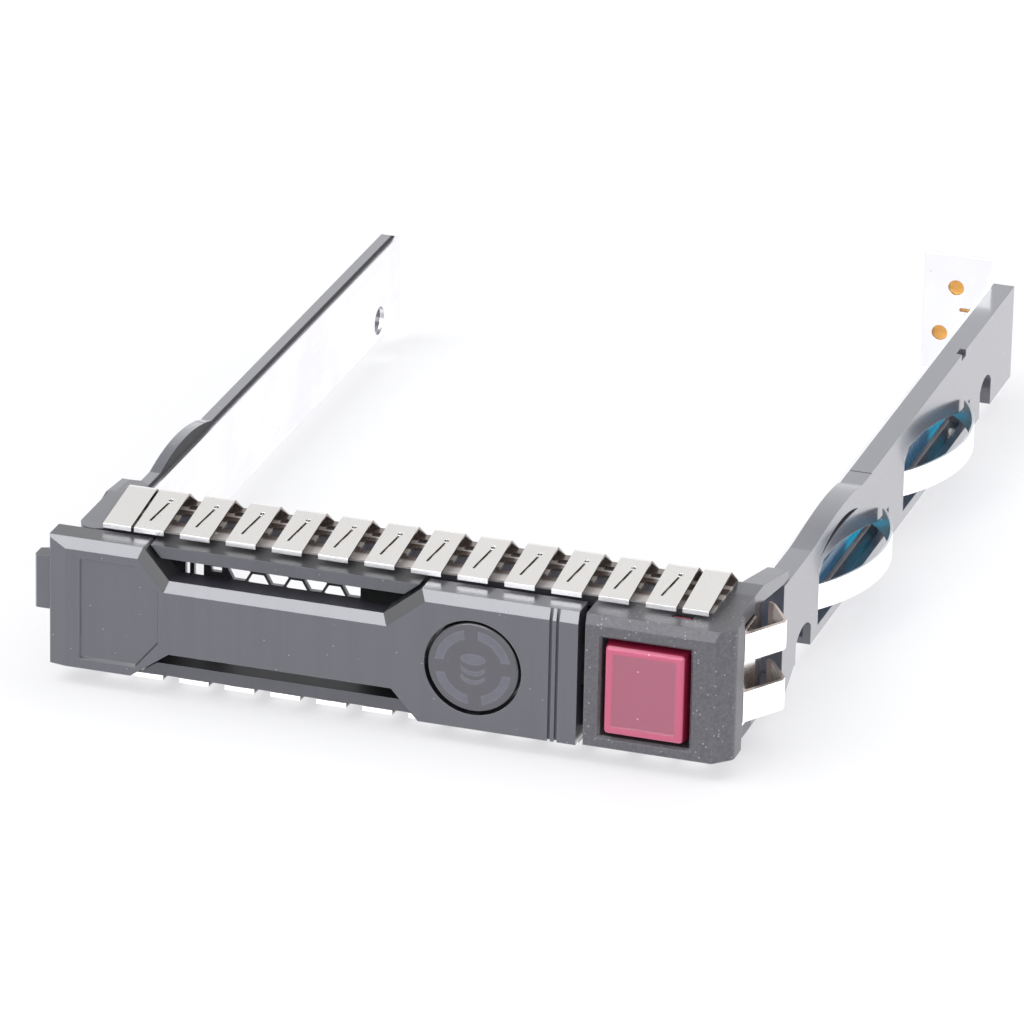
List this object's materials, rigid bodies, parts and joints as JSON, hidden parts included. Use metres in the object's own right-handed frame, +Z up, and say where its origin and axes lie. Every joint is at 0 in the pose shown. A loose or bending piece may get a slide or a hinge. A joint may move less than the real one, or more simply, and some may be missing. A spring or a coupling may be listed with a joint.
{
  "type": "hot swap drive caddy",
  "caption": "Hot swap drive caddy: front lever with status disc, side release button, spring contact fingers, vent, and two side arms holding a thin drive between them.",
  "frame": {"origin": "middle of the overall box, at the bottom (the lowest spring fingers' crests)", "axes": "+X to the right seen from the front, +Y from the front lever to the rear, +Z up"},
  "size_m": [0.0818, 0.1182, 0.0194],
  "materials": {
    "lever_gloss": "glossy dark plastic with fine streaks and dust",
    "block_matte": "fine spark-textured dark plastic",
    "frame_dark": "satin dark plastic",
    "button_magenta": "translucent magenta plastic",
    "latch_dark": "plain dark plastic",
    "disc_gloss": "glossy dark plastic",
    "disc_mark": "smoked translucent inlay",
    "finger_steel": "bright spring steel",
    "plate_steel": "bright stainless sheet",
    "pin_steel": "turned steel",
    "spring_steel": "spring wire",
    "rail_grey": "satin grey plastic",
    "flex_amber": "amber film with dark blue tracks",
    "board_dark": "dark circuit board",
    "lamp_white": "small lamp",
    "guide_clear": "clear light guide",
    "pad_gold": "gold plated pads"
  },
  "bodies": {
    "carrier": {"front_frame": "frame_dark", "button_bezel": "block_matte", "button_spring": "spring_steel", "lever_spring": "spring_steel", "hinge_pin": "pin_steel", "vent_grille": "frame_dark", "led_board": "board_dark", "status_lamps": "lamp_white", "light_guide": "guide_clear", "shield_top": "finger_steel", "shield_bottom": "finger_steel", "shield_right": "finger_steel", "right_plate": "plate_steel", "left_plate": "plate_steel", "right_rail": "rail_grey", "left_rail": "rail_grey", "rail_rivets": "pin_steel", "rail_spring_front": "finger_steel", "rail_spring_rear": "finger_steel", "flex_circuit": "flex_amber", "contact_board": "board_dark", "contact_pads": "pad_gold"},
    "lever": {"lever": "lever_gloss", "status_disc": "disc_gloss", "status_arcs": "disc_mark", "status_symbol": "disc_mark"},
    "release_button": {"release_button": "button_magenta"},
    "latch_slider": {"latch_slider": "latch_dark"}
  },
  "joints": [
    {"name": "lever_hinge", "type": "hinge", "parent": "carrier", "child": "lever", "pos_m": [-0.03528, -0.05367, 0.00917], "axis": [0, 0, -1], "range_deg": [0, 50]},
    {"name": "button_slide", "type": "slide", "parent": "carrier", "child": "release_button", "axis": [0, 1, 0], "range_m": [0, 0.0015], "stiffness_N_per_m": 300, "springref_m": -0.0005, "deforming": ["button_spring"]},
    {"name": "latch_slide", "type": "slide", "parent": "carrier", "child": "latch_slider", "axis": [1, 0, 0], "range_m": [0, 0.0015]}
  ],
  "couplings": [
    {"joint": "latch_slide", "follows": "button_slide", "ratio": 1}
  ]
}
